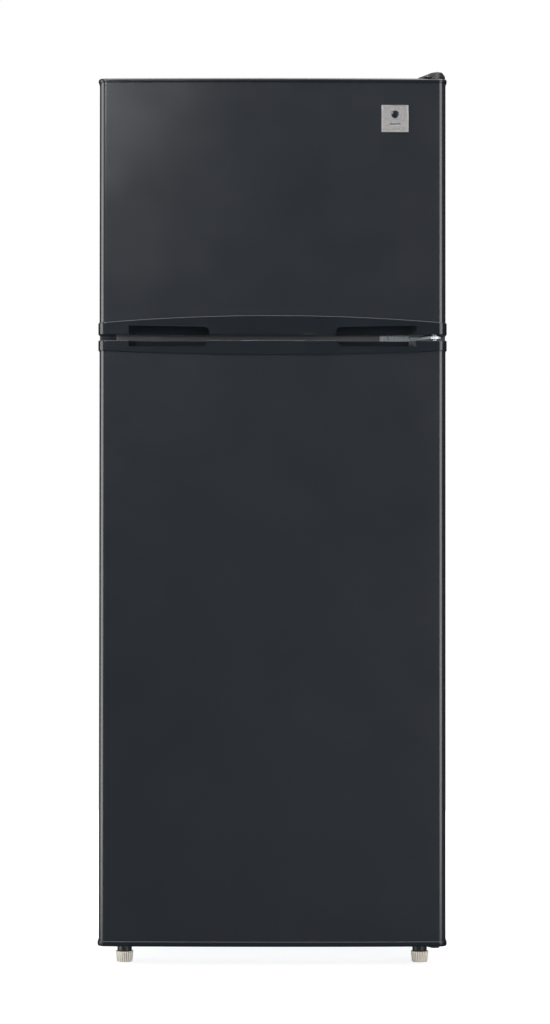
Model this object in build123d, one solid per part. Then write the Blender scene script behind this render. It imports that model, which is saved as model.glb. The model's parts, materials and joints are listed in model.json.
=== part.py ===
from build123d import *
import math
import os

# Top freezer refrigerator of about 10 cubic feet, with two doors hinged on the right.
# Millimetres, +Z up. The doors face -Y, and the origin is on the floor under the middle.

# --- Overall ---------------------------------------------------------------------------------
WIDTH = 596.0  # cabinet, and the doors' end caps
DEPTH = 650.0  # front of the handle caps to the back of the condenser brackets
FRONT_Y = -DEPTH / 2
REAR_Y = DEPTH / 2
HALF_W = WIDTH / 2

# --- Doors -----------------------------------------------------------------------------------
DOOR_T = 58.0  # front of the caps to the back plane of a door
CROWN = 6.0  # bow of a door's front over its width
CAP_SIDE = 2.0  # the caps stand this far out from the steel skin at each side
CAP_PROUD = 2.0  # and this far at the front
SKIN_T = 0.8
DOOR_BACK = FRONT_Y + DOOR_T
DOOR_BOTTOM = 36.0
FRIDGE_DOOR_H = 1033.0
DOOR_GAP = 10.0
FREEZER_DOOR_H = 438.0
FRIDGE_DOOR_TOP = DOOR_BOTTOM + FRIDGE_DOOR_H
FREEZER_DOOR_BOTTOM = FRIDGE_DOOR_TOP + DOOR_GAP
FREEZER_DOOR_TOP = FREEZER_DOOR_BOTTOM + FREEZER_DOOR_H
CAP_CORNER = 14.0  # upright rounded corners of the caps, seen from above
SKIN_CORNER = 12.0
CAP_PLATE = 2.5  # wall of the moulded end caps
TOP_CAP_LIP = 7.0
BOTTOM_CAP_LIP = 9.0
CAP_ROUND = 3.5  # rounding of the end caps' outer edge
LIP_ROUND = 1.2  # and of every lip's edge over the skin

# --- Handle caps: the two mouldings that meet at the gap between the doors --------------------
UPPER_END_H = 20.0  # height of the upper cap's lip at the ends
UPPER_MID_H = 32.5  # and in the middle, where its arc is highest
UPPER_BASE_H = 18.0  # the skin starts this far above the door's bottom
LOWER_END_H = 17.5
LOWER_MID_H = 25.0
LOWER_BASE_H = 16.0
POCKET_OUT = 245.5  # finger pockets, measured from the middle of the door
POCKET_IN = 108.0
POCKET_BACK = FRONT_Y + 33.0
POCKET_TAPER = 12.0
POCKET_WALL = 2.0
UPPER_POCKET_H = 34.0
LOWER_POCKET_H = 22.0
UPPER_MOUTH_H = 15.0
LOWER_MOUTH_H = 10.5

# --- Hinges ----------------------------------------------------------------------------------
HINGE_X = HALF_W - 20.0
HINGE_Y = FRONT_Y + 25.0
PIN_R = 4.0
BUSH_CLEARANCE = 0.06
BUSH_R = 9.0
TOP_PLATE_T = 3.0
TOP_SCREWS = [(281.0, -238.0), (281.0, -206.0)]  # X and Y
CENTRE_Z0, CENTRE_Z1 = 1067.0, 1082.0  # the centre bracket's flange
CENTRE_SCREWS = [(197.0, 1074.5), (235.0, 1074.5)]  # X and Z
BOTTOM_SCREWS = [(232.0, -210.0), (282.0, -210.0)]  # X and Y

# --- Cabinet ---------------------------------------------------------------------------------
SEAL_GAP = 12.0  # door back plane to cabinet front
CAB_FRONT = DOOR_BACK + SEAL_GAP
CAB_BACK = REAR_Y - 22.0
CAB_BOTTOM = 40.0
CAB_TOP = 1519.0
FRONT_FLANGE = 28.0
SHEET_T = 0.8
PAN_T = 1.2
LINER_T = 1.5
ROOM_HALF_W = 250.0  # inside of the liners
ROOM_BACK = CAB_BACK - 55.0
FRIDGE_FLOOR = 95.0
FRIDGE_CEILING = 1044.0
FREEZER_FLOOR = 1104.0
FREEZER_CEILING = 1464.0
ROOM_CORNER = 14.0
MULLION_LOW = 1050.0
MULLION_HIGH = 1098.0
BAY_FRONT = CAB_BACK - 185.0  # the compressor bay, open at the back and below
BAY_TOP = 240.0
STEP_FRONT = BAY_FRONT - 45.0  # the step that the bay makes in the fridge's floor
STEP_TOP = 285.0

# --- Insides of the doors ----------------------------------------------------------------------
DYKE_HALF_W = 235.0  # the raised ring that holds the door bins
DYKE_W = 22.0
DYKE_Y = DOOR_BACK + 32.0
PAN_Y = DOOR_BACK - 20.0
DYKE_CLEAR = 10.0  # dyke to the cabinet's opening, above and below
BIN_HALF_W = 212.0
BIN_REAR = CAB_FRONT + 73.0
BIN_WALL = 2.5
BIN_CORNER = 12.0
# each node's bins: floor height, wall height
FREEZER_BINS = {"freezer_door_bins": [(1160.0, 58.0), (1306.0, 58.0)]}
FRIDGE_BINS = {"fridge_door_deep_bin": [(150.0, 100.0)], "fridge_door_bins": [(470.0, 78.0), (740.0, 62.0)]}

# --- Shelves and drawer ------------------------------------------------------------------------
GLASS_T = 4.0
GLASS_HALF_W = 247.0
SHELF_FRONT = -130.0
SHELF_BACK = ROOM_BACK - 24.0
CRISPER_LID_Z = 291.0  # the pane over the drawer
SHELF_HEIGHTS = [CRISPER_LID_Z, 520.0, 760.0]
DRAWER_FRONT = -147.0
DRAWER_HALF_W = 236.0

# --- Feet, rollers and machinery -----------------------------------------------------------------
FOOT_X = 255.0
FOOT_Y = CAB_FRONT + 16.0
FOOT_R = 15.2
FOOT_H = 18.5
FOOT_FLUTES = 24
STUD_R = 5.0
ROLLER_X = 255.0
ROLLER_Y = 250.0
ROLLER_R = 18.0
AXLE_R = 3.0
COMP_X, COMP_Y = 80.0, 212.0
COMP_R = 66.0
DECK_Z = CAB_BOTTOM + 3.0  # top of the rear cross member
COMP_PLATE_Z = DECK_Z + 6.0
COMP_TOP = 200.0
COMP_FEET = [(dx * 62.0, dy * 50.0) for dx in (-1, 1) for dy in (-1, 1)]

# --- Condenser on the back -----------------------------------------------------------------------
COIL_HALF = 218.0
COIL_PITCH = 52.0
COIL_PASSES = 21
COIL_LOW = 330.0
COIL_TOP = COIL_LOW + COIL_PITCH * (COIL_PASSES - 1)
COIL_Y = CAB_BACK + 13.0
COIL_R = 2.5
WIRE_R = 0.8
DRIER_X, DRIER_Y = -70.0, 250.0

# --- Freezer insides -----------------------------------------------------------------------------
COVER_Y = ROOM_BACK - 52.0
COVER_HALF_W = ROOM_HALF_W - 1.5
COVER_Z0, COVER_Z1 = FREEZER_FLOOR + 2.0, FREEZER_CEILING - 2.0
FREEZER_SHELF_Z = 1288.0
FAN_Z = 1362.0
FAN_HOLE_R = 54.0

# --- Control box under the fridge's ceiling --------------------------------------------------------
BOX_Y0, BOX_Y1, BOX_Z0 = -215.0, -70.0, 992.0
NOSE_Y = -229.0  # front of the light switch's housing
KNOB_X, KNOB_Z = -52.0, 1018.0
BUTTON_X, BUTTON_Z, BUTTON_R = 72.0, 1023.0, 6.0
BUTTON_REST = DYKE_Y + 0.5  # the closed door holds the button in to here
LENS_X0, LENS_X1 = -95.0, 95.0

RUNNING = 0.06  # radial clearance of a turning fit


def block(x0, x1, y0, y1, z0, z1):
    """A box between two corners."""
    return Pos((x0 + x1) / 2, (y0 + y1) / 2, (z0 + z1) / 2) * Box(x1 - x0, y1 - y0, z1 - z0)


def round_block(half_x, y0, y1, z0, z1, corner):
    """A box about X = 0 whose four edges along Y are rounded."""
    face = RectangleRounded(2 * half_x, z1 - z0, corner)
    return Pos(0, y1, (z0 + z1) / 2) * Rot(90, 0, 0) * extrude(face, amount=y1 - y0)


def rod_x(y, z, x0, x1, radius):
    return Pos((x0 + x1) / 2, y, z) * Rot(0, 90, 0) * Cylinder(radius, x1 - x0)


def rod_y(x, z, y0, y1, radius):
    return Pos(x, (y0 + y1) / 2, z) * Rot(90, 0, 0) * Cylinder(radius, y1 - y0)


def rod_z(x, y, z0, z1, radius):
    return Pos(x, y, (z0 + z1) / 2) * Cylinder(radius, z1 - z0)


def polygon_z(points, z0, z1):
    """A prism on a plan outline, between two heights."""
    face = make_face(Polyline(*points, close=True))
    return Pos(0, 0, z0) * extrude(face, amount=z1 - z0)


def prism_y(face_xz, y0, y1):
    """A face drawn in X and Z, drawn out along Y."""
    return Pos(0, y1, 0) * Rot(90, 0, 0) * extrude(face_xz, amount=y1 - y0)


def prism_x(face_yz, x0, x1):
    """A face drawn in Y and Z, drawn out along X."""
    return extrude(Plane.YZ.offset(x0) * face_yz, amount=x1 - x0)


def ring_y(half_x, z0, z1, width, y0, y1):
    """A rectangular ring that faces Y."""
    outer = block(-half_x, half_x, y0, y1, z0, z1)
    return outer - block(-half_x + width, half_x - width, y0 - 1, y1 + 1, z0 + width, z1 - width)


def tube(points, bend, radius):
    """A bent tube's solid along straight runs joined by arcs."""
    path = FilletPolyline(*points, radius=bend)
    section = Plane(origin=path @ 0, z_dir=path % 0) * Circle(radius)
    return sweep(section, path=path)


def group(shapes):
    """Several solids in one node."""
    return Compound(children=[solid for shape in shapes for solid in shape.solids()])


# --- Doors -------------------------------------------------------------------------------------
def door_plan(side_in, front_in, corner, back=DOOR_BACK):
    """A door's outline from above: a bowed front with rounded corners, stepped in from the caps."""
    side = HALF_W - side_in
    front = FRONT_Y + front_in
    edge = front + CROWN
    line = ThreePointArc((-side, edge), (0, front), (side, edge)) + Polyline(
        (side, edge), (side, back), (-side, back), (-side, edge)
    )
    face = make_face(line)
    return fillet(face.vertices().group_by(Axis.Y)[0], corner)


def door_prism(side_in, front_in, corner, z0, z1, back=DOOR_BACK):
    return Pos(0, 0, z0) * extrude(door_plan(side_in, front_in, corner, back), amount=z1 - z0)


def cap_prism(z0, z1):
    return door_prism(0, 0, CAP_CORNER, z0, z1)


def skin_prism(z0, z1):
    return door_prism(CAP_SIDE, CAP_PROUD, SKIN_CORNER, z0, z1)


def door_skin(z0, z1):
    """Steel sheet wrapped round the front and sides, with a narrow return at the back."""
    inside = door_prism(
        CAP_SIDE + SKIN_T, CAP_PROUD + SKIN_T, SKIN_CORNER - SKIN_T, z0 - 1, z1 + 1, DOOR_BACK - SKIN_T
    )
    opening = HALF_W - CAP_SIDE - 12.0
    back = block(-opening, opening, DOOR_BACK - 5, DOOR_BACK + 5, z0 - 1, z1 + 1)
    return skin_prism(z0, z1) - inside - back


def rounded_prism(solid, top_round, bottom_round):
    """Rounds a cap's top and bottom edges all along its front and sides, but not at its back."""
    solid = fillet(solid.faces().sort_by(Axis.Z)[-1].edges().sort_by(Axis.Y)[:-1], top_round)
    return fillet(solid.faces().sort_by(Axis.Z)[0].edges().sort_by(Axis.Y)[:-1], bottom_round)


def plain_cap(door_z0, door_z1, at_top):
    """A flat end cap with a lip over the skin and a bush for the pin. Returns it and the space it takes."""
    bush_h = 20.0
    if at_top:
        low = door_z1 - TOP_CAP_LIP
        body = rounded_prism(cap_prism(low, door_z1), CAP_ROUND, LIP_ROUND)
        body -= skin_prism(low - 1, door_z1 - CAP_PLATE)
        boss = rod_z(HINGE_X, HINGE_Y, door_z1 - bush_h, door_z1 - CAP_PLATE, BUSH_R)
        bore = rod_z(HINGE_X, HINGE_Y, door_z1 - bush_h + 2, door_z1 + 1, PIN_R + BUSH_CLEARANCE)
    else:
        high = door_z0 + BOTTOM_CAP_LIP
        body = rounded_prism(cap_prism(door_z0, high), LIP_ROUND, CAP_ROUND)
        body -= skin_prism(door_z0 + CAP_PLATE, high + 1)
        boss = rod_z(HINGE_X, HINGE_Y, door_z0 + CAP_PLATE, door_z0 + bush_h, BUSH_R)
        bore = rod_z(HINGE_X, HINGE_Y, door_z0 - 1, door_z0 + bush_h - 2, PIN_R + BUSH_CLEARANCE)
    return body + boss - bore, body + boss


def pocket_plan(side, wall):
    """A finger pocket's region from above, with a slanted end wall on the outer side."""
    out, inner = side * (POCKET_OUT + wall), side * (POCKET_IN - wall)
    back, front = POCKET_BACK + wall, FRONT_Y - 5
    turn = side * (POCKET_OUT + wall - POCKET_TAPER)
    return [(out, front), (inner, front), (inner, back), (turn, back), (out, back - POCKET_TAPER)]


def pocket(side, z0, z1, wall):
    """One pocket's space, or with a wall its outer shell, behind the cap's front."""
    front_in = CAP_PROUD + SKIN_T + POCKET_WALL - wall
    return polygon_z(pocket_plan(side, wall), z0, z1) & door_prism(
        CAP_SIDE + 3, front_in, SKIN_CORNER - 3, z0 - 1, z1 + 1
    )


def mouth(points, radius_at, radius):
    """The cut through a cap's front wall into a pocket, drawn in X and Z, with one corner rounded."""
    face = make_face(Polyline(*points, close=True))
    corner = face.vertices().sort_by_distance(Vector(radius_at[0], radius_at[1], 0))[0]
    return prism_y(fillet(corner, radius), FRONT_Y - 5, POCKET_BACK - 14)


def cap_hollow(z0, z1):
    """The space inside a handle cap's walls."""
    return door_prism(CAP_SIDE + 2.5, CAP_PROUD + 2.8, SKIN_CORNER - 2.5, z0, z1, DOOR_BACK - 2.5)


def foam_free(z0, z1):
    """The air space between a handle cap's front wall and the back of its pockets."""
    return block(-HALF_W, HALF_W, FRONT_Y - 1, POCKET_BACK + POCKET_WALL, z0, z1)


def freezer_handle_cap():
    """The freezer door's bottom cap: an arched top edge, and two finger pockets open below and in front."""
    z0 = FREEZER_DOOR_BOTTOM
    arch = make_face(
        ThreePointArc((-HALF_W, UPPER_END_H), (0, UPPER_MID_H), (HALF_W, UPPER_END_H))
        + Polyline((HALF_W, UPPER_END_H), (HALF_W, 0), (-HALF_W, 0), (-HALF_W, UPPER_END_H))
    )
    arch = Pos(0, 0, z0) * prism_y(arch, FRONT_Y - 1, DOOR_BACK)
    lip = rounded_prism(cap_prism(z0, z0 + UPPER_MID_H + 1) & arch, LIP_ROUND, LIP_ROUND)
    lip -= skin_prism(z0 - 1, z0 + UPPER_MID_H + 2)
    hollow = cap_hollow(z0 + CAP_PLATE, z0 + 50)
    base = skin_prism(z0, z0 + UPPER_BASE_H) - hollow
    boss = rod_z(HINGE_X, HINGE_Y, z0, z0 + UPPER_BASE_H, BUSH_R)
    cap, envelope = lip + base + boss, lip + base + boss
    for side in (-1, 1):
        shell = pocket(side, z0, z0 + UPPER_POCKET_H + POCKET_WALL, POCKET_WALL)
        top_out, top_in = z0 + UPPER_MOUTH_H, z0 + UPPER_MOUTH_H - 2.5
        cut = mouth(
            [
                (side * POCKET_OUT, z0 - 1),
                (side * POCKET_OUT, top_out),
                (side * POCKET_IN, top_in),
                (side * POCKET_IN, z0 - 1),
            ],
            (side * POCKET_IN, top_in),
            9.0,
        )
        envelope += shell
        cap = cap + shell - pocket(side, z0 - 1, z0 + UPPER_POCKET_H, 0) - cut
    bore = rod_z(HINGE_X, HINGE_Y, z0 - 1, z0 + UPPER_BASE_H - 3, PIN_R + BUSH_CLEARANCE)
    return cap - bore, envelope + foam_free(z0, z0 + UPPER_POCKET_H + POCKET_WALL)


def fridge_handle_cap():
    """Top cap of the fridge door, with an arched lower edge and a notch under each finger pocket."""
    z1 = FRIDGE_DOOR_TOP
    arch = make_face(
        ThreePointArc((-HALF_W, -LOWER_END_H), (0, -LOWER_MID_H), (HALF_W, -LOWER_END_H))
        + Polyline((HALF_W, -LOWER_END_H), (HALF_W, 0), (-HALF_W, 0), (-HALF_W, -LOWER_END_H))
    )
    arch = Pos(0, 0, z1) * prism_y(arch, FRONT_Y - 1, DOOR_BACK)
    lip = rounded_prism(cap_prism(z1 - LOWER_MID_H - 1, z1) & arch, LIP_ROUND, LIP_ROUND)
    lip -= skin_prism(z1 - LOWER_MID_H - 2, z1 + 1)
    hollow = cap_hollow(z1 - 50, z1 - CAP_PLATE)
    base = skin_prism(z1 - LOWER_BASE_H, z1) - hollow
    boss = rod_z(HINGE_X, HINGE_Y, z1 - LOWER_BASE_H, z1, BUSH_R)
    cap, envelope = lip + base + boss, lip + base + boss
    for side in (-1, 1):
        shell = pocket(side, z1 - LOWER_POCKET_H - POCKET_WALL, z1, POCKET_WALL)
        cut = mouth(
            [
                (side * POCKET_OUT, z1 + 1),
                (side * POCKET_OUT, z1 - LOWER_MOUTH_H),
                (side * (POCKET_IN + 9), z1 - LOWER_MOUTH_H),
                (side * POCKET_IN, z1 + 1),
            ],
            (side * (POCKET_IN + 9), z1 - LOWER_MOUTH_H),
            5.0,
        )
        envelope += shell
        cap = cap + shell - pocket(side, z1 - LOWER_POCKET_H, z1 + 1, 0) - cut
    bore = rod_z(HINGE_X, HINGE_Y, z1 - LOWER_BASE_H + 2, z1 + 1, PIN_R + BUSH_CLEARANCE)
    return cap - bore, envelope + foam_free(z1 - LOWER_MID_H, z1)


def dyke_ring(z0, z1, skin):
    """The foam inside the raised ring of a door's liner, or with skin 0 the ring's own outside."""
    outer = round_block(DYKE_HALF_W - skin, DOOR_BACK - 1, DYKE_Y - skin, z0 + skin, z1 - skin, 14.0 - skin)
    width = DYKE_W - skin
    inner = round_block(
        DYKE_HALF_W - width, DOOR_BACK - 2, DYKE_Y + 1, z0 + width, z1 - width, 12.0 + skin
    )
    return outer - inner


def door_liner(door_z0, door_z1, z0, z1, lug_heights):
    """White sheet on the door's back: a border, a raised ring and a recessed pan with lugs for the bins."""
    border = block(
        -HALF_W + 7, HALF_W - 7, DOOR_BACK, DOOR_BACK + LINER_T, door_z0 + 5, door_z1 - 5
    )
    ring = round_block(DYKE_HALF_W, DOOR_BACK, DYKE_Y, z0, z1, 14.0)
    pan_half = DYKE_HALF_W - DYKE_W
    pan_out = round_block(
        pan_half + LINER_T,
        PAN_Y - LINER_T,
        DOOR_BACK,
        z0 + DYKE_W - LINER_T,
        z1 - DYKE_W + LINER_T,
        12 + LINER_T,
    )
    pan_in = round_block(pan_half, PAN_Y, DYKE_Y + 1, z0 + DYKE_W, z1 - DYKE_W, 12)
    foam_side = dyke_ring(z0, z1, LINER_T) - block(-300, 300, PAN_Y, DOOR_BACK, z0, z1)
    liner = border + ring + pan_out - pan_in - foam_side
    liner = fillet(liner.faces().group_by(Axis.Y)[-1].edges(), 1.2)
    for height in lug_heights:
        for side in (-1, 1):
            x0, x1 = sorted((side * (pan_half - 6), side * (pan_half + 1)))
            liner += block(x0, x1, DOOR_BACK - 12, DYKE_Y - 8, height - 9, height)
    return liner


def door_foam(door_z0, door_z1, z0, z1, skin, envelopes):
    """Foam that fills the door between its skin, caps and liner."""
    core = door_prism(
        CAP_SIDE + SKIN_T,
        CAP_PROUD + SKIN_T,
        SKIN_CORNER - SKIN_T,
        door_z0 + CAP_PLATE,
        door_z1 - CAP_PLATE,
    )
    core -= skin
    pan_half = DYKE_HALF_W - DYKE_W + LINER_T
    core -= round_block(
        pan_half, PAN_Y - LINER_T, DOOR_BACK + 1, z0 + DYKE_W - LINER_T, z1 - DYKE_W + LINER_T, 12 + LINER_T
    )
    for envelope in envelopes:
        core -= envelope
    core += dyke_ring(z0, z1, LINER_T) & block(-300, 300, DOOR_BACK - 0.5, DYKE_Y, z0, z1)
    return core.solids().sort_by(SortBy.VOLUME)[-1]


def door_gasket(z0, z1):
    """Magnetic seal: a foot on the liner, a narrow neck and a magnet head just clear of the cabinet."""
    foot_y = DOOR_BACK + LINER_T
    half = HALF_W - 22.0
    foot = ring_y(half, z0, z1, 16.0, foot_y, foot_y + 3.0)
    neck = ring_y(half - 4.5, z0 + 4.5, z1 - 4.5, 7.0, foot_y + 3.0, foot_y + 6.0)
    head = ring_y(half - 1, z0 + 1, z1 - 1, 14.0, foot_y + 6.0, CAB_FRONT - 0.6)
    return foot + neck + head


def door_bin(floor, height):
    """One open shelf on the door, with rounded corners towards the cabinet."""
    y0 = PAN_Y + 0.5
    depth = BIN_REAR - y0

    def tray(inset, z0, z1):
        face = Rectangle(2 * (BIN_HALF_W - inset), depth - 2 * inset)
        face = fillet(face.vertices().group_by(Axis.Y)[-1], BIN_CORNER - inset)
        return Pos(0, y0 + depth / 2, z0) * extrude(face, amount=z1 - z0)

    body = tray(0, floor, floor + height) - tray(BIN_WALL, floor + BIN_WALL, floor + height + 1)
    half = BIN_HALF_W + 1
    lowered = block(-half, half, y0 - 1, y0 + 40, floor + height - 14, floor + height + 1)
    return body - lowered


def badge_plate():
    """Small square plate on the freezer door, near the hinge side's top corner. It carries no mark."""
    size, x = 46.4, 209.0
    z = FREEZER_DOOR_TOP - 69.1
    seat = FRONT_Y + CAP_PROUD + CROWN * (x / HALF_W) ** 2
    plate = block(x - size / 2, x + size / 2, seat - 1.6, seat + 4, z - size / 2, z + size / 2)
    plate -= door_prism(CAP_SIDE, CAP_PROUD, SKIN_CORNER, z - size, z + size)
    return chamfer(plate.faces().sort_by(Axis.Y)[0].edges(), 0.7)


def build_door(name, door_z0, door_z1, z0, z1, bins, caps, skin_z):
    """The pieces that both doors have: skin, foam, liner, gasket and bins."""
    skin = door_skin(*skin_z)
    gasket_top = door_z1 - (12.0 if name == "freezer" else 6.0)
    gasket_bottom = door_z0 + (6.0 if name == "freezer" else 18.0)
    lug_heights = [floor for shelves in bins.values() for floor, _ in shelves]
    made = {
        f"{name}_door_skin": skin,
        f"{name}_door_foam": door_foam(door_z0, door_z1, z0, z1, skin, [envelope for _, envelope in caps]),
        f"{name}_door_liner": door_liner(door_z0, door_z1, z0, z1, lug_heights),
        f"{name}_door_gasket": door_gasket(gasket_bottom, gasket_top),
    }
    for node, shelves in bins.items():
        made[node] = group([door_bin(floor, height) for floor, height in shelves])
    return made


def doors():
    top_cap = plain_cap(FREEZER_DOOR_BOTTOM, FREEZER_DOOR_TOP, True)
    bottom_cap = plain_cap(DOOR_BOTTOM, FRIDGE_DOOR_TOP, False)
    upper_handle, lower_handle = freezer_handle_cap(), fridge_handle_cap()
    made = build_door(
        "freezer",
        FREEZER_DOOR_BOTTOM,
        FREEZER_DOOR_TOP,
        FREEZER_FLOOR + DYKE_CLEAR,
        FREEZER_CEILING - DYKE_CLEAR,
        FREEZER_BINS,
        [top_cap, upper_handle],
        (FREEZER_DOOR_BOTTOM + UPPER_BASE_H, FREEZER_DOOR_TOP - CAP_PLATE),
    )
    made |= build_door(
        "fridge",
        DOOR_BOTTOM,
        FRIDGE_DOOR_TOP,
        FRIDGE_FLOOR + DYKE_CLEAR,
        FRIDGE_CEILING - DYKE_CLEAR,
        FRIDGE_BINS,
        [bottom_cap, lower_handle],
        (DOOR_BOTTOM + CAP_PLATE, FRIDGE_DOOR_TOP - LOWER_BASE_H),
    )
    made["freezer_door_top_cap"] = top_cap[0]
    made["freezer_handle_cap"] = upper_handle[0]
    made["fridge_handle_cap"] = lower_handle[0]
    made["fridge_door_bottom_cap"] = bottom_cap[0]
    made["badge_plate"] = badge_plate()
    return made


# --- Cabinet -------------------------------------------------------------------------------------
def side_sheet(side):
    """One side of the steel wrapper, with a return at the front and a rounded fold over the top edge."""
    fold = 12.0
    outer = make_face(
        Polyline((HALF_W - fold, CAB_TOP), (HALF_W - 5, CAB_TOP))
        + RadiusArc((HALF_W - 5, CAB_TOP), (HALF_W, CAB_TOP - 5), 5)
        + Polyline(
            (HALF_W, CAB_TOP - 5),
            (HALF_W, CAB_BOTTOM),
            (HALF_W - SHEET_T, CAB_BOTTOM),
            (HALF_W - SHEET_T, CAB_TOP - 5),
        )
        + RadiusArc((HALF_W - SHEET_T, CAB_TOP - 5), (HALF_W - 5, CAB_TOP - SHEET_T), -(5 - SHEET_T))
        + Polyline(
            (HALF_W - 5, CAB_TOP - SHEET_T), (HALF_W - fold, CAB_TOP - SHEET_T), (HALF_W - fold, CAB_TOP)
        )
    )
    sheet = prism_y(outer, CAB_FRONT, CAB_BACK)
    inner_x = HALF_W - FRONT_FLANGE
    sheet += block(inner_x, HALF_W - SHEET_T, CAB_FRONT, CAB_FRONT + SHEET_T, CAB_BOTTOM, CAB_TOP - 5)
    return sheet if side > 0 else mirror(sheet, about=Plane.YZ)


def cabinet_wrapper():
    """Two side sheets and the top sheet between their folds, as three solids."""
    fold_x = HALF_W - 12.0
    top = block(-fold_x, fold_x, CAB_FRONT, CAB_BACK, CAB_TOP - SHEET_T, CAB_TOP)
    edge_x = HALF_W - FRONT_FLANGE
    top += block(-edge_x, edge_x, CAB_FRONT, CAB_FRONT + SHEET_T, CAB_TOP - FRONT_FLANGE, CAB_TOP)
    return group([side_sheet(-1), side_sheet(1), top])


def base_pan():
    """Folded steel bottom: front flange, floor, the bay's front wall and its roof."""
    half = HALF_W - SHEET_T
    edge_x = HALF_W - FRONT_FLANGE
    floor_y = CAB_FRONT + SHEET_T
    pan = block(-half, half, floor_y, BAY_FRONT + PAN_T, CAB_BOTTOM, CAB_BOTTOM + PAN_T)
    pan += block(-edge_x, edge_x, CAB_FRONT, CAB_FRONT + PAN_T, CAB_BOTTOM, CAB_BOTTOM + FRONT_FLANGE)
    pan += block(-half, half, BAY_FRONT, BAY_FRONT + PAN_T, CAB_BOTTOM, BAY_TOP + PAN_T)
    return pan + block(-half, half, BAY_FRONT, CAB_BACK, BAY_TOP, BAY_TOP + PAN_T)


def back_panel():
    half = HALF_W - SHEET_T
    return block(-half, half, CAB_BACK - SHEET_T, CAB_BACK, BAY_TOP + PAN_T, CAB_TOP - 5.0)


def fridge_room(grow, front):
    """The fridge's inside, grown by a thickness, less the step over the compressor bay."""
    room = round_block(
        ROOM_HALF_W + grow,
        front,
        ROOM_BACK + grow,
        FRIDGE_FLOOR - grow,
        FRIDGE_CEILING + grow,
        ROOM_CORNER + grow,
    )
    return room - block(-300, 300, STEP_FRONT + grow, ROOM_BACK + 5, 0, STEP_TOP - grow)


def freezer_room(grow, front):
    return round_block(
        ROOM_HALF_W + grow,
        front,
        ROOM_BACK + grow,
        FREEZER_FLOOR - grow,
        FREEZER_CEILING + grow,
        ROOM_CORNER + grow,
    )


def ledges(height, y0, y1):
    """A pair of rails on the side walls that a shelf rests on."""
    rails = block(ROOM_HALF_W - 7, ROOM_HALF_W + 1, y0, y1, height - 7, height)
    return rails + mirror(rails, about=Plane.YZ)


def liner_flange(z0, z1):
    edge_x = HALF_W - FRONT_FLANGE
    return block(-edge_x, edge_x, CAB_FRONT, CAB_FRONT + LINER_T, z0, z1)


def cabinet():
    """Wrapper, back, base, foam, liners and the bar between the two rooms."""
    fridge_flange = liner_flange(CAB_BOTTOM + FRONT_FLANGE, MULLION_LOW)
    freezer_flange = liner_flange(MULLION_HIGH, CAB_TOP - FRONT_FLANGE)
    mullion = liner_flange(MULLION_LOW, MULLION_HIGH)
    front = CAB_FRONT - 1
    fridge = fridge_flange + fridge_room(LINER_T, CAB_FRONT) - fridge_room(0, front)
    for height in SHELF_HEIGHTS:
        ledge_back = STEP_FRONT if height < STEP_TOP + 10 else SHELF_BACK
        fridge += ledges(height, SHELF_FRONT + 8, ledge_back)
    freezer = freezer_flange + freezer_room(LINER_T, CAB_FRONT) - freezer_room(0, front)
    freezer += ledges(FREEZER_SHELF_Z - 3.0, -180, 180)
    half = HALF_W - SHEET_T
    foam = block(-half, half, CAB_FRONT + SHEET_T, CAB_BACK - SHEET_T, CAB_BOTTOM + PAN_T, CAB_TOP - 5)
    foam += block(
        -half + 5, half - 5, CAB_FRONT + SHEET_T, CAB_BACK - SHEET_T, CAB_TOP - 6, CAB_TOP - SHEET_T
    )
    foam -= block(-300, 300, BAY_FRONT, CAB_BACK, 0, BAY_TOP + PAN_T)
    foam -= fridge_room(LINER_T, front) + freezer_room(LINER_T, front)
    edge_x = HALF_W - FRONT_FLANGE
    foam -= block(
        -edge_x, edge_x, CAB_FRONT, CAB_FRONT + LINER_T, CAB_BOTTOM, CAB_TOP - FRONT_FLANGE
    )
    return {
        "cabinet_wrapper": cabinet_wrapper(),
        "cabinet_back_panel": back_panel(),
        "base_pan": base_pan(),
        "cabinet_foam": foam,
        "fridge_liner": fridge,
        "freezer_liner": freezer,
        "mullion_bar": mullion,
    }


# --- Hinges --------------------------------------------------------------------------------------
def hinge_eye(z0, z1, radius, tail):
    """A flat plate that runs from its tail outline to a round eye about the hinge axis."""
    plate = polygon_z(tail, z0, z1) + rod_z(HINGE_X, HINGE_Y, z0, z1, radius)
    return plate - rod_z(HINGE_X, HINGE_Y, z0 - 1, z1 + 1, PIN_R)


SCREW_TURNS = {"down": Rot(0, 0, 0), "back": Rot(90, 0, 0), "up": Rot(180, 0, 0)}


def screw(x, y, z, axis, head=4.5, shank=2.2, length=6.0):
    """A low dome-headed screw. Its head's seat is at the point, and it goes in along the axis."""
    part = Cone(head, head * 0.55, 2.4, align=(Align.CENTER, Align.CENTER, Align.MIN))
    part -= Pos(0, 0, 2.4) * Box(head * 0.9, 1.0, 1.6) + Pos(0, 0, 2.4) * Box(1.0, head * 0.9, 1.6)
    part += Pos(0, 0, -length / 2) * Cylinder(shank, length)
    return Pos(x, y, z) * SCREW_TURNS[axis] * part


def screw_hole(x, y, z, axis, shank=2.2):
    return Pos(x, y, z) * SCREW_TURNS[axis] * Cylinder(shank, 20.0)


def top_hinge_bracket():
    tail = [(271, -280), (291, -280), (291, -186), (271, -186)]
    neck = [(HINGE_X - 7.5, HINGE_Y), (HINGE_X + 7.5, HINGE_Y), (291, -276), (271, -276)]
    plate = hinge_eye(CAB_TOP, CAB_TOP + TOP_PLATE_T, 7.5, neck)
    plate += polygon_z(tail, CAB_TOP, CAB_TOP + TOP_PLATE_T)
    for x, y in TOP_SCREWS:
        plate -= screw_hole(x, y, CAB_TOP, "down")
    return plate


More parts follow.
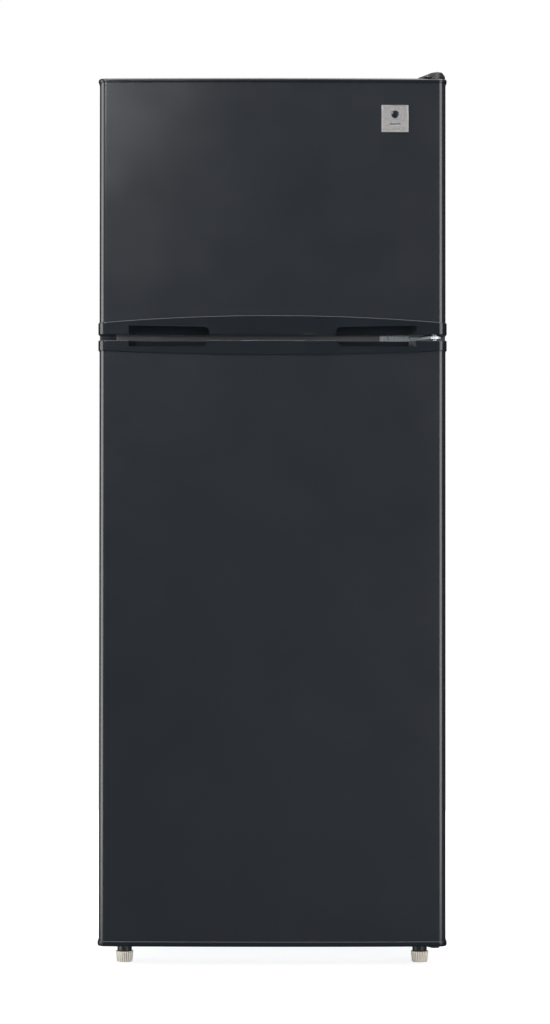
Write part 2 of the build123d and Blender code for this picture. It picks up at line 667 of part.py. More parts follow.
def top_hinge_cover():
    """Low teardrop hood over the top bracket. Its ridge runs over the pin and falls away to the left."""

    def hood(wall):
        x0, x1, y0, y1 = 249.0 + wall, 295.5 - wall, -320.0 + wall, -176.0 - wall
        plan = Pos((x0 + x1) / 2, (y0 + y1) / 2) * Rectangle(x1 - x0, y1 - y0)
        plan = fillet(plan.vertices().group_by(Axis.Y)[0], 20.0 - wall)
        plan = fillet(plan.vertices().group_by(Axis.Y)[-1], 8.0 - wall)
        heights = [(x0, 0.9), (259, 2.9), (268, 6.2), (275, 9.4)]
        heights += [(281, 11.4), (286.5, 10.2), (291, 6.8), (x1, 2.4)]
        outline = [(x, height - wall) for x, height in heights]
        ridge = Polyline(outline[-1], (x1, -3), (x0, -3), outline[0]) + Spline(*outline)
        body = prism_y(make_face(ridge), y0 - 1, y1 + 1)
        front, back = y0 - 2, y1 + 2
        slope = Polyline(
            (front, 0),
            (front, 6.5 - wall),
            (HINGE_Y, 12.5 - wall),
            (-215, 12.5 - wall),
            (back, 6.0 - wall),
            (back, 0),
            close=True,
        )
        body &= prism_x(make_face(slope), 200, 320)
        return Pos(0, 0, CAB_TOP) * (body & extrude(plan, amount=30))

    return hood(0) - hood(1.6)


def centre_hinge_bracket():
    """Zinc-plated bracket in the gap: a flange on the bar, and an arm with the pin for both doors."""
    middle = (CENTRE_Z0 + CENTRE_Z1) / 2
    outline = [(185, CENTRE_Z0), (240, CENTRE_Z0), (264, middle - 2)]
    outline += [(264, middle + 2), (240, CENTRE_Z1), (185, CENTRE_Z1)]
    flange = prism_y(make_face(Polyline(*outline, close=True)), CAB_FRONT - 3, CAB_FRONT)
    bracket = chamfer(flange.edges().filter_by(Axis.Y).group_by(Axis.X)[0], 2.0)
    arm = [(240, CAB_FRONT - 3), (264, CAB_FRONT - 3)]
    arm += [(HINGE_X + 9.5, HINGE_Y + 3), (HINGE_X - 8, HINGE_Y - 6)]
    bracket += hinge_eye(middle - 2, middle + 2, 10.0, arm)
    for x, z in CENTRE_SCREWS:
        bracket -= screw_hole(x, CAB_FRONT, z, "back")
    return bracket


def hinge_blank_plate():
    """Snap-in cover over the unused hinge seat on the left of the bar."""
    plate = block(-268, -192, CAB_FRONT - 2.5, CAB_FRONT, CENTRE_Z0, CENTRE_Z1)
    plate = fillet(plate.edges().filter_by(Axis.Y), 3.0)
    return fillet(plate.faces().sort_by(Axis.Y)[0].edges(), 0.8)


def foot_nut(side):
    """The threaded boss that a levelling foot screws into, and the plate that holds it under the base."""
    x0, x1 = sorted((side * 222.0, side * 292.0))
    plate = block(x0, x1, CAB_FRONT + 3, -196, CAB_BOTTOM - 3, CAB_BOTTOM)
    plate += rod_z(side * FOOT_X, FOOT_Y, FOOT_H + 1.5, CAB_BOTTOM - 3, 12.5)
    return plate - rod_z(side * FOOT_X, FOOT_Y, FOOT_H, CAB_BOTTOM - 1, STUD_R + RUNNING)


def bottom_hinge_bracket():
    bracket = foot_nut(1)
    low, high = DOOR_BOTTOM - 3.5, DOOR_BOTTOM - 0.5
    bracket += block(240, 286, CAB_FRONT, CAB_FRONT + 3, low, CAB_BOTTOM)
    arm = [(240, CAB_FRONT + 1), (286, CAB_FRONT + 1), (HINGE_X + 8, HINGE_Y), (HINGE_X - 8, HINGE_Y)]
    bracket += hinge_eye(low, high, 8.0, arm)
    for x, y in BOTTOM_SCREWS:
        bracket -= screw_hole(x, y, CAB_BOTTOM - 3, "up")
    return bracket


def left_foot_bracket():
    bracket = foot_nut(-1) + block(-284, -264, CAB_FRONT, CAB_FRONT + 3, CAB_BOTTOM - 7, CAB_BOTTOM)
    for x, y in BOTTOM_SCREWS:
        bracket -= screw_hole(-x, y, CAB_BOTTOM - 3, "up")
    return bracket


def hinge_screws():
    """All the bracket screws. Their shanks stop inside the brackets' own thickness."""
    made = [screw(x, y, CAB_TOP + TOP_PLATE_T, "down", length=TOP_PLATE_T) for x, y in TOP_SCREWS]
    made += [screw(x, CAB_FRONT - 3, z, "back", head=4.2, length=3.0) for x, z in CENTRE_SCREWS]
    for side in (1, -1):
        made += [screw(side * x, y, CAB_BOTTOM - 3, "up", length=3.0) for x, y in BOTTOM_SCREWS]
    return group(made)


def hinge_pins():
    top = rod_z(HINGE_X, HINGE_Y, FREEZER_DOOR_TOP - 16, CAB_TOP + TOP_PLATE_T + 1, PIN_R)
    centre = rod_z(HINGE_X, HINGE_Y, FRIDGE_DOOR_TOP - 12, FREEZER_DOOR_BOTTOM + 13, PIN_R)
    bottom = rod_z(HINGE_X, HINGE_Y, DOOR_BOTTOM - 4.5, DOOR_BOTTOM + 16, PIN_R)
    return group([top, centre, bottom])


# --- Feet and rollers ------------------------------------------------------------------------------
def levelling_foot(side):
    """A fluted plastic foot, drawn in towards the floor, on its threaded stud."""
    face = Circle(FOOT_R) - [loc * Rectangle(5.0, 1.4) for loc in PolarLocations(FOOT_R, FOOT_FLUTES)]
    knob = extrude(face, amount=FOOT_H)
    taper = Cone(FOOT_R - 1.8, FOOT_R, FOOT_H, align=(Align.CENTER, Align.CENTER, Align.MIN))
    core = Cone(FOOT_R - 4.0, FOOT_R - 2.2, FOOT_H, align=(Align.CENTER, Align.CENTER, Align.MIN))
    taper = fillet(taper.edges().filter_by(GeomType.CIRCLE).sort_by(Axis.Z)[0], 1.2)
    core = fillet(core.edges().filter_by(GeomType.CIRCLE).sort_by(Axis.Z)[0], 1.0)
    foot = (knob & taper) + core + rod_z(0, 0, FOOT_H, CAB_BOTTOM - 2, STUD_R)
    return Pos(side * FOOT_X, FOOT_Y, 0) * foot


def roller(side):
    wheel = Rot(0, 90, 0) * Cylinder(ROLLER_R, 17.0)
    wheel = fillet(wheel.edges().filter_by(GeomType.CIRCLE), 2.0)
    for face_side in (-1, 1):
        wheel -= Pos(face_side * 8.5, 0, 0) * Rot(0, 90, 0) * (Cylinder(14.0, 6.0) - Cylinder(6.5, 6.0))
    wheel -= Rot(0, 90, 0) * Cylinder(AXLE_R + RUNNING, 30.0)
    return Pos(side * ROLLER_X, ROLLER_Y, ROLLER_R) * wheel


def roller_axle(side):
    return rod_x(ROLLER_Y, ROLLER_R, side * ROLLER_X - 14, side * ROLLER_X + 14, AXLE_R)


def rear_crossmember():
    """Steel channel across the bay that carries the compressor, with a fork for each roller."""
    half = HALF_W - SHEET_T
    y0, y1 = BAY_FRONT + 22, CAB_BACK - 5
    beam = block(-half, half, y0, y1, CAB_BOTTOM, CAB_BOTTOM + 3)
    beam += block(-half, half, y0, y0 + 2, CAB_BOTTOM, CAB_BOTTOM + 14)
    beam += block(-half, half, y1 - 2, y1, CAB_BOTTOM, CAB_BOTTOM + 14)
    for side in (-1, 1):
        for ear in (-1, 1):
            x = side * ROLLER_X + ear * 10.75
            ear_plate = block(x - 1.25, x + 1.25, ROLLER_Y - 16, ROLLER_Y + 16, 9, CAB_BOTTOM)
            beam += chamfer(ear_plate.edges().filter_by(Axis.X).group_by(Axis.Z)[0], 8.0)
        beam -= rod_x(ROLLER_Y, ROLLER_R, side * ROLLER_X - 15, side * ROLLER_X + 15, AXLE_R)
    return beam


# --- Cooling machinery -------------------------------------------------------------------------------


def compressor():
    """Hermetic shell in two pressed halves, welded at a rim, on a foot plate."""
    low = COMP_PLATE_Z + 3.0
    rim = [(COMP_R, low + 18), (COMP_R, 152), (COMP_R + 4, 152)]
    rim += [(COMP_R + 4, 158), (COMP_R, 158), (COMP_R, 170)]
    profile = make_face(
        Polyline((0, low), (COMP_R - 18, low))
        + RadiusArc((COMP_R - 18, low), (COMP_R, low + 18), -18)
        + Polyline(*rim)
        + RadiusArc((COMP_R, 170), (COMP_R - 30, COMP_TOP - 2), -32)
        + Polyline((COMP_R - 30, COMP_TOP - 2), (30, COMP_TOP), (0, COMP_TOP), (0, low))
    )
    body = revolve(Plane.XZ * profile, axis=Axis.Z)
    plate = Pos(0, 0, COMP_PLATE_Z) * extrude(RectangleRounded(146, 120, 14), amount=3.0)
    body = Pos(COMP_X, COMP_Y, 0) * (body + plate)
    for dx, dy in COMP_FEET:
        body -= rod_z(COMP_X + dx, COMP_Y + dy, COMP_PLATE_Z - 1, COMP_PLATE_Z + 4, 4.0)
    return body


def compressor_grommets():
    def grommet(dx, dy):
        x, y = COMP_X + dx, COMP_Y + dy
        return rod_z(x, y, DECK_Z, COMP_PLATE_Z, 9.0) + rod_z(x, y, COMP_PLATE_Z, COMP_PLATE_Z + 5, 4.0)

    return group([grommet(dx, dy) for dx, dy in COMP_FEET])


def terminal_box():
    """Relay cover on the compressor's side, with the gland that the supply cord would come through."""
    x0 = COMP_X + COMP_R + 0.5
    box = block(x0, x0 + 36, COMP_Y - 28, COMP_Y + 28, 78, 142)
    box = fillet(box.edges().filter_by(Axis.Y).group_by(Axis.X)[-1], 6.0)
    gland = rod_x(COMP_Y + 12, 96, x0 + 36, x0 + 48, 7.0) - rod_x(COMP_Y + 12, 96, x0 + 42, x0 + 50, 4.0)
    return box + gland


def drain_pan():
    """Evaporating tray on top of the compressor."""
    z0 = COMP_TOP
    outer = Pos(COMP_X, COMP_Y, z0) * extrude(RectangleRounded(184, 128, 12), amount=22.0)
    inner = Pos(COMP_X, COMP_Y, z0 + 2) * extrude(RectangleRounded(180, 124, 10), amount=30.0)
    return outer - inner


def serpentine(half, y, z0, pitch, passes, radius):
    """A flat coil of level passes joined by half-round bends."""
    line = None
    for i in range(passes):
        z = z0 + i * pitch
        way = 1 if i % 2 == 0 else -1
        run = Line((-way * half, y, z), (way * half, y, z))
        line = run if line is None else line + run
        if i < passes - 1:
            end = (way * half, y, z)
            middle = (way * (half + pitch / 2), y, z + pitch / 2)
            line += ThreePointArc(end, middle, (way * half, y, z + pitch))
    section = Plane(origin=(-half, y, z0), z_dir=(1, 0, 0)) * Circle(radius)
    return sweep(section, path=line)


def condenser_coil():
    return serpentine(COIL_HALF, COIL_Y, COIL_LOW, COIL_PITCH, COIL_PASSES, COIL_R)


def condenser_wires():
    """Upright wires welded along the coil's outer side."""
    y = COIL_Y + COIL_R + WIRE_R
    return group([rod_z(x, y, COIL_LOW - 8, COIL_TOP + 8, WIRE_R) for x in range(-207, 208, 9)])


def condenser_bracket(side, z):
    """A moulded stand-off clipped round the coil's bends. Its back also spaces the cabinet from a wall."""
    x0, x1 = sorted((side * 236.0, side * 264.0))
    post = block(x0, x1, CAB_BACK, REAR_Y, z - 16, z + 16)
    s0, s1 = sorted((side * 230.0, side * 250.0))
    post -= block(s0, s1, COIL_Y - COIL_R - 0.5, COIL_Y + COIL_R + 0.5, z - 20, z + 20)
    return fillet(post.edges().filter_by(Axis.Y), 2.0)


def condenser_brackets():
    heights = [COIL_LOW + COIL_PITCH * (i + 0.5) for i in (1, 17)]
    left_heights = [COIL_LOW + COIL_PITCH * (i + 0.5) for i in (2, 18)]
    made = [condenser_bracket(-1, z) for z in heights] + [condenser_bracket(1, z) for z in left_heights]
    return group(made)


def filter_drier():
    body = rod_z(DRIER_X, DRIER_Y, 100, 170, 10.0)
    tips = [
        Pos(DRIER_X, DRIER_Y, 170) * Cone(10, 3, 14, align=(Align.CENTER, Align.CENTER, Align.MIN)),
        Pos(DRIER_X, DRIER_Y, 86) * Cone(3, 10, 14, align=(Align.CENTER, Align.CENTER, Align.MIN)),
    ]
    return body + tips


def refrigerant_pipes():
    """Discharge and liquid pipes of the condenser, then the evaporator's capillary and suction pipes."""
    right, left = COIL_HALF + 54.0, -COIL_HALF - 32.0
    back = COMP_Y + COMP_R
    discharge = [
        (COMP_X, back, 110),
        (COMP_X, back + 14, 110),
        (right, back + 14, 110),
        (right, COIL_Y, 136),
        (right, COIL_Y, COIL_TOP),
        (COIL_HALF, COIL_Y, COIL_TOP),
    ]
    liquid = [
        (-COIL_HALF, COIL_Y, COIL_LOW),
        (left, COIL_Y, COIL_LOW),
        (left, COIL_Y, 215),
        (left, DRIER_Y, 215),
        (DRIER_X, DRIER_Y, 215),
        (DRIER_X, DRIER_Y, 184),
    ]
    capillary = [
        (DRIER_X, DRIER_Y, 86),
        (DRIER_X, DRIER_Y, 66),
        (DRIER_X, DRIER_Y - 30, 66),
        (DRIER_X, DRIER_Y - 30, BAY_TOP),
    ]
    suction = [(COMP_X - COMP_R, COMP_Y, 132), (-48, COMP_Y, 132), (-48, COMP_Y, BAY_TOP)]
    return group(
        [
            tube(discharge, 12.0, COIL_R),
            tube(liquid, 12.0, COIL_R),
            tube(capillary, 8.0, 1.2),
            tube(suction, 16.0, 3.6),
        ]
    )


# --- Freezer insides -----------------------------------------------------------------------------------


def evaporator_cover():
    """White panel over the evaporator, with air slots and a ring grille in front of the fan."""
    cover = round_block(COVER_HALF_W, COVER_Y, ROOM_BACK, COVER_Z0, COVER_Z1, ROOM_CORNER)
    cover -= round_block(
        COVER_HALF_W - 2, COVER_Y + 2, ROOM_BACK + 1, COVER_Z0 + 2, COVER_Z1 - 2, ROOM_CORNER - 2
    )
    hole = rod_y(0, FAN_Z, COVER_Y - 1, COVER_Y + 3, FAN_HOLE_R)
    for radius in (14.0, 24.0, 34.0, 44.0):
        ring = rod_y(0, FAN_Z, COVER_Y - 1, COVER_Y + 3, radius)
        hole -= ring - rod_y(0, FAN_Z, COVER_Y - 1, COVER_Y + 3, radius - 3)
    for turn in range(0, 180, 45):
        hole -= Pos(0, COVER_Y + 1, FAN_Z) * Rot(0, turn, 0) * Box(2 * FAN_HOLE_R, 6, 3.0)
    cover -= hole
    for x in (-180, -110, 110, 180):
        for row in range(4):
            z = 1392.0 + 14.0 * row
            cover -= block(x - 26, x + 26, COVER_Y - 1, COVER_Y + 3, z - 2.5, z + 2.5)
    for x in range(-180, 181, 60):
        cover -= block(x - 22, x + 22, COVER_Y - 1, COVER_Y + 3, 1120, 1126)
    return cover


def evaporator():
    """Two flat coils with pressed fins on them."""
    rows, pitch, z0 = 5, 26.0, 1134.0
    columns = (COVER_Y + 16.0, COVER_Y + 36.0)
    coils = [serpentine(176.0, y, z0, pitch, rows, 4.0) for y in columns]
    fin = block(-0.25, 0.25, COVER_Y + 8, COVER_Y + 44, z0 - 12, z0 + pitch * (rows - 1) + 12)
    for y in columns:
        for row in range(rows):
            fin -= rod_x(y, z0 + row * pitch, -1, 1, 4.0)
    fins = [Pos(x, 0, 0) * fin for x in range(-160, 161, 20)]
    return group(coils + fins)


def fan_motor():
    motor = rod_y(0, FAN_Z, COVER_Y + 30, ROOM_BACK - 2, 20.0)
    motor += block(-34, 34, ROOM_BACK - 6, ROOM_BACK - 2, FAN_Z - 5, FAN_Z + 5)
    return motor + rod_y(0, FAN_Z, COVER_Y + 12, COVER_Y + 30, 2.0)


def fan_blade():
    """Hub with five tilted blades, on the motor's shaft."""
    hub = rod_y(0, 0, COVER_Y + 10, COVER_Y + 27, 13.0)
    blade = Pos(29, COVER_Y + 18.5, 0) * Rot(32, 0, 0) * Box(34, 1.6, 24)
    blade &= rod_y(0, 0, COVER_Y + 8, COVER_Y + 29, 46.0)
    for i in range(5):
        hub += Rot(0, 72 * i, 0) * blade
    hub -= rod_y(0, 0, COVER_Y + 11.5, COVER_Y + 30, 2.0 + RUNNING)
    return Pos(0, 0, FAN_Z) * hub


def freezer_shelf():
    """Wire shelf: cross rods under a row of thin wires."""
    y0, y1, z = -172.0, 172.0, FREEZER_SHELF_Z
    shelf = rod_x(y0, z, -246, 246, 3.0) + rod_x(y1, z, -246, 246, 3.0) + rod_x(0, z, -246, 246, 3.0)
    for x in range(-240, 241, 20):
        shelf += rod_y(x, z + 3.6, y0 - 1, y1 + 1, 1.6)
    return shelf


# --- Fridge insides ------------------------------------------------------------------------------------


def control_box():
    """Thermostat and lamp housing under the fridge's ceiling."""
    box = block(-112, 112, BOX_Y0, BOX_Y1, BOX_Z0, FRIDGE_CEILING)
    box = fillet(box.edges().filter_by(Axis.Z), 8.0)
    box -= block(-109.5, 109.5, BOX_Y0 + 2.5, BOX_Y1 - 2.5, BOX_Z0 + 2.5, FRIDGE_CEILING + 1)
    box -= block(LENS_X0 + 6, LENS_X1 - 6, BOX_Y0 + 30, BOX_Y1 - 14, BOX_Z0 - 1, BOX_Z0 + 4)
    nose = block(BUTTON_X - 14, BUTTON_X + 14, NOSE_Y, BOX_Y0 + 1, BUTTON_Z - 12, BUTTON_Z + 12)
    box += fillet(nose.edges().filter_by(Axis.Y), 4.0)
    box -= rod_y(BUTTON_X, BUTTON_Z, NOSE_Y - 1, BOX_Y0 + 4, BUTTON_R + RUNNING)
    box += rod_y(KNOB_X, KNOB_Z, BOX_Y0 - 8.5, BOX_Y0 + 2, 3.0)
    return box


def lamp_cover():
    """Clear ribbed lens under the control box."""
    y0, y1 = BOX_Y0 + 24, BOX_Y1 - 8
    lens = block(LENS_X0, LENS_X1, y0, y1, BOX_Z0 - 9, BOX_Z0)
    lens = fillet(lens.edges().group_by(Axis.Z)[0], 4.0)
    lens -= block(LENS_X0 + 2, LENS_X1 - 2, y0 + 2, y1 - 2, BOX_Z0 - 7, BOX_Z0 + 1)
    return lens


def lamp():
    """Bulb in its holder, behind the lens."""
    z = BOX_Z0 + 26.0
    bulb = rod_x(-130, z, -30, 22, 11.0) + Pos(22, -130, z) * Sphere(11.0)
    holder = rod_x(-130, z, -52, -30, 14.0) + block(-56, -36, -146, -114, z - 2, FRIDGE_CEILING)
    return bulb + holder


def thermostat_knob():
    """Round dial with finger ridges and a pointer."""
    face = Circle(17.0) - [loc * Circle(1.6) for loc in PolarLocations(17.6, 18)]
    dial = extrude(face, amount=10.0)
    dial = dial + Pos(0, 9.0, 10.0) * Box(3.0, 14.0, 2.4) - Cylinder(3.0 + RUNNING, 16.0)
    return Pos(KNOB_X, BOX_Y0 - 1.0, KNOB_Z) * Rot(90, 0, 0) * dial


def light_switch_button():
    """Plunger that the closed door holds in."""
    stem = rod_y(BUTTON_X, BUTTON_Z, BUTTON_REST, BOX_Y0 + 9, BUTTON_R)
    return stem + rod_y(BUTTON_X, BUTTON_Z, BOX_Y0 + 7, BOX_Y0 + 12, BUTTON_R + 2)


def air_duct():
    """Raised channel on the fridge's back wall that feeds cold air from the freezer."""
    y0, z0, z1 = ROOM_BACK - 12.0, STEP_TOP + 20, FRIDGE_CEILING - 2
    duct = block(-62, 62, y0, ROOM_BACK, z0, z1)
    duct = fillet(duct.edges().filter_by(Axis.Z).group_by(Axis.Y)[0], 6.0)
    duct -= block(-60, 60, y0 + 2, ROOM_BACK + 1, z0 + 2, z1 + 1)
    for z in range(400, 1001, 120):
        for row in (-7, 7):
            duct -= block(-36, 36, y0 - 1, y0 + 3, z + row - 2.5, z + row + 2.5)
    return duct


def glass_shelf(height):
    return block(-GLASS_HALF_W, GLASS_HALF_W, SHELF_FRONT, SHELF_BACK, height, height + GLASS_T)


def shelf_trim(height):
    """Moulded strips that hold the glass along its front and back edges."""
    half = GLASS_HALF_W - 5.0
    strips = []
    for edge, way in ((SHELF_FRONT, -1), (SHELF_BACK, 1)):
        y0, y1 = sorted((edge + way * 9, edge - way * 9))
        strip = block(-half, half, y0, y1, height - 5, height + 9)
        strip = fillet(strip.edges().filter_by(Axis.X), 2.5)
        strips.append(strip - block(-300, 300, SHELF_FRONT, SHELF_BACK, height, height + GLASS_T))
    return strips


def crisper_drawer():
    """Deep clear drawer with a thicker front and a grip along its top edge."""
    z0, z1, back = FRIDGE_FLOOR + 3, CRISPER_LID_Z - 14, STEP_FRONT - 5

    def tub(inset, low, high):
        face = Rectangle(2 * (DRAWER_HALF_W - inset), back - DRAWER_FRONT - 2 * inset)
        face = fillet(face.vertices(), 12.0 - inset)
        return Pos(0, (DRAWER_FRONT + back) / 2, low) * extrude(face, amount=high - low)

    drawer = tub(0, z0, z1) - tub(2.5, z0 + 2.5, z1 + 1)
    lip = block(-150, 150, DRAWER_FRONT - 12, DRAWER_FRONT + 2, z1 - 16, z1 - 12)
    lip += block(-150, 150, DRAWER_FRONT - 12, DRAWER_FRONT - 9, z1 - 26, z1 - 12)
    return drawer + fillet(lip.edges().filter_by(Axis.Z), 1.2)


def parts():
    """Every sub-part by its node's name."""
    made = cabinet() | doors()
    made |= {
        "top_hinge_bracket": top_hinge_bracket(),
        "top_hinge_cover": top_hinge_cover(),
        "centre_hinge_bracket": centre_hinge_bracket(),
        "hinge_blank_plate": hinge_blank_plate(),
        "bottom_hinge_bracket": bottom_hinge_bracket(),
        "left_foot_bracket": left_foot_bracket(),
        "hinge_screws": hinge_screws(),
        "hinge_pins": hinge_pins(),
        "left_foot": levelling_foot(-1),
        "right_foot": levelling_foot(1),
        "left_roller": roller(-1),
        "right_roller": roller(1),
        "roller_axles": group([roller_axle(-1), roller_axle(1)]),
        "rear_crossmember": rear_crossmember(),
        "compressor": compressor(),
        "compressor_grommets": compressor_grommets(),
        "terminal_box": terminal_box(),
        "drain_pan": drain_pan(),
        "condenser_coil": condenser_coil(),
        "condenser_wires": condenser_wires(),
        "condenser_brackets": condenser_brackets(),
        "filter_drier": filter_drier(),
        "refrigerant_pipes": refrigerant_pipes(),
        "evaporator_cover": evaporator_cover(),
        "evaporator": evaporator(),
        "fan_motor": fan_motor(),
        "fan_blade": fan_blade(),
        "freezer_shelf": freezer_shelf(),
        "control_box": control_box(),
        "lamp": lamp(),
        "lamp_cover": lamp_cover(),
        "thermostat_knob": thermostat_knob(),
        "light_switch_button": light_switch_button(),
        "air_duct": air_duct(),
        "crisper_drawer": crisper_drawer(),
        "shelf_glass": group([glass_shelf(height) for height in SHELF_HEIGHTS]),
        "shelf_trims": group([s for height in SHELF_HEIGHTS for s in shelf_trim(height)]),
    }
    return made


os.makedirs("parts", exist_ok=True)
for node, shape in parts().items():
    export_step(shape, f"parts/{node}.step")
    print(node, len(shape.solids()), "solids")
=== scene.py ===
"""Looks of the top freezer refrigerator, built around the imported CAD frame.

Metres, +Z up, doors facing -Y.
"""

import json
import math

import bmesh
import bpy
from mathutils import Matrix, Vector


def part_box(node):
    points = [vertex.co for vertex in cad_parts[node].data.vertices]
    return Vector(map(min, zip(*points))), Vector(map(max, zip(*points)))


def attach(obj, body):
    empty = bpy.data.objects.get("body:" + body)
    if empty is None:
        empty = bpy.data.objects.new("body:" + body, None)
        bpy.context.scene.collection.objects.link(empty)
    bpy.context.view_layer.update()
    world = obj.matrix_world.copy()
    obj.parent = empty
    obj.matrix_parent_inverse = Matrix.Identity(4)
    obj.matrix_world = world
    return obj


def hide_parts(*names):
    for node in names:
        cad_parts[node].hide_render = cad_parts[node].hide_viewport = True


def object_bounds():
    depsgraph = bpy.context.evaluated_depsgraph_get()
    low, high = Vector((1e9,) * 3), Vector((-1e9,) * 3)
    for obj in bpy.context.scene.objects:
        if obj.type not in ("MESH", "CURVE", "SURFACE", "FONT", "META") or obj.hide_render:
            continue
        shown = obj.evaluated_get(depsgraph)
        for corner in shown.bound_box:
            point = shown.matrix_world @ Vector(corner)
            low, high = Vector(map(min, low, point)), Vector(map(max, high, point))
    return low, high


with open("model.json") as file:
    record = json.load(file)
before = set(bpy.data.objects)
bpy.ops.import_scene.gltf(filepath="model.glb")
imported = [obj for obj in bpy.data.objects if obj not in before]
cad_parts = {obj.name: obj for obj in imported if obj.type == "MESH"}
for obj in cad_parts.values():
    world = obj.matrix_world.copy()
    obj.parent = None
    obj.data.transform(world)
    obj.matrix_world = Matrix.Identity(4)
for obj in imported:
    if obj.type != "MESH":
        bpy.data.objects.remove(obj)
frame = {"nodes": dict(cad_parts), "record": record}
cad_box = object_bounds()

NODES = frame["nodes"]
SLOT_OF = {part["node"]: part["material_slot"] for part in frame["record"]["subparts"]}
MM = 0.001

# --- Driving dimensions ------------------------------------------------------------------------------
# Floor and height of each door's bins, as in the CAD source.
DOOR_BINS = {
    "freezer_door": [(1.160, 0.058), (1.306, 0.058)],
    "fridge_door": [(0.150, 0.100), (0.470, 0.078), (0.740, 0.062)],
}
BIN_WALL = 2.5 * MM
BIN_CORNER = 12 * MM
BIN_RIM_START = 41 * MM  # the bins' sides are lower for their first 40 mm

FLUTE_SHADE_START = 1.9 * MM  # how far under a foot's rim the painted shade in its flutes starts
FLUTE_SHADE_FULL = 2.6 * MM  # and where that painted shade is full

PANEL_SCREW_RADIUS = 3.6 * MM
PANEL_SCREW_INSET = 12 * MM  # from the back panel's edges
PANEL_SCREW_ROWS = 6
PANEL_SCREW_COLUMNS = (-0.15, 0.0, 0.15)  # between the corners, along the panel's top and bottom
PANEL_RIB_INSET = 30 * MM  # from the panel's sides
PANEL_RIB_END = 60 * MM  # from the panel's top and bottom
COVER_SCREW_RADIUS = 4.0 * MM
COVER_SCREW_INSET = 16 * MM  # from the evaporator cover's edges

KNOB_MARKS = 7
LAMP_GAPS = 18  # between the lamp cover's ribs and ends

FRONT_Y = cad_box[0].y
CAMERA_BACK = 5.004  # from the doors' front
CAMERA_HEIGHT = 0.7184
CAMERA_TILT = math.radians(0.66)
CAMERA_PAN = math.radians(-0.051)
CAMERA_ROLL = math.radians(-0.04)
LENS_MM = 103.3
SENSOR_MM = 36.0
CAMERA_REACH = 200.0

FLOOR_RADIUS = 2.7
FLOOR_GLOW = 0.82  # keeps the contact shadow faint, as in a cut-out
HORIZON = 0.02  # the dome's brightness level with the camera
ZENITH = 1.0  # and straight up
DOME_RISE = (0.1, 0.9)  # the upward parts of a direction between which it brightens
DOME_STRENGTH = 1.0

# name, place, target, width, height, watts, colour, whether it shows in shiny surfaces
SOFTBOXES = [
    ("key_upper_left", (-1.5, -4.36, 2.84), (-0.2, -0.325, 1.3), 0.8, 1.0, 100.0, (1, 1, 1), True),
    ("side_left", (-2.95, -1.15, 1.0), (-0.3, -0.325, 0.9), 2.3, 2.6, 110.0, (1.0, 0.97, 0.94), True),
    ("side_right", (2.04, -2.74, 1.0), (0.3, -0.325, 0.9), 1.7, 2.6, 78.0, (1.0, 0.95, 0.9), True),
    ("fill_front", (0.0, -5.3, 1.07), (0.0, 0.0, 1.07), 0.7, 0.7, 48.0, (1, 1, 1), False),
    ("fill_low", (0.1, -2.6, 0.2), (0.0, -0.325, 0.2), 0.7, 0.4, 13.0, (1, 1, 1), False),
    ("overhead", (0.0, -0.6, 4.6), (0.0, 0.0, 0.0), 4.0, 4.0, 380.0, (1, 1, 1), True),
    ("behind", (0.6, 4.6, 3.6), (0.0, 0.3, 0.7), 3.0, 2.0, 150.0, (1, 1, 1), False),
]


# --- Materials -------------------------------------------------------------------------------------
class Look:
    """One procedural material, with short calls for the nodes that it needs."""

    def __init__(self, name):
        self.mat = bpy.data.materials.new(name)
        self.mat.use_nodes = True
        self.tree = self.mat.node_tree
        self.shader = self.tree.nodes["Principled BSDF"]
        self.place = self.node("ShaderNodeTexCoord").outputs["Object"]

    def node(self, kind, **values):
        made = self.tree.nodes.new(kind)
        for key, value in values.items():
            if key in made.inputs:
                self.feed(made.inputs[key], value)
            else:
                setattr(made, key, value)
        return made

    def feed(self, socket, value):
        """A socket takes either a constant or another node's output."""
        if isinstance(value, bpy.types.NodeSocket):
            self.tree.links.new(value, socket)
        else:
            socket.default_value = value

    def set(self, **values):
        """Sets the shader's own sockets. Underscores stand for spaces."""
        for key, value in values.items():
            self.feed(self.shader.inputs[key.replace("_", " ")], value)
        return self

    def noise(self, scale, detail=3.0, stretch=None):
        place = self.place
        if stretch:
            place = self.node("ShaderNodeMapping", Vector=place, Scale=stretch).outputs["Vector"]
        return self.node("ShaderNodeTexNoise", Vector=place, Scale=scale, Detail=detail).outputs["Fac"]

    def cells(self, scale):
        return self.node("ShaderNodeTexVoronoi", Vector=self.place, Scale=scale).outputs["Distance"]

    def spread(self, value, low, high, at_low=0.3, at_high=0.7):
        """Maps a noise's middle band onto low..high."""
        made = self.node("ShaderNodeMapRange")
        self.feed(made.inputs["Value"], value)
        for key, number in (("From Min", at_low), ("From Max", at_high), ("To Min", low), ("To Max", high)):
            made.inputs[key].default_value = number
        return made.outputs["Result"]

    def blend(self, factor, a, b):
        made = self.node("ShaderNodeMix", data_type="RGBA")
        self.feed(made.inputs["Factor"], factor)
        self.feed(made.inputs[6], a)
        self.feed(made.inputs[7], b)
        return made.outputs[2]

    def bump(self, height, depth, strength=1.0, under=None):
        made = self.node("ShaderNodeBump", Height=height, Distance=depth, Strength=strength)
        if under:
            self.tree.links.new(under, made.inputs["Normal"])
        return made.outputs["Normal"]


def shade(colour, factor):
    """A colour made darker or brighter, with its fourth value for the socket."""
    return tuple(channel * factor for channel in colour[:3]) + (1.0,)


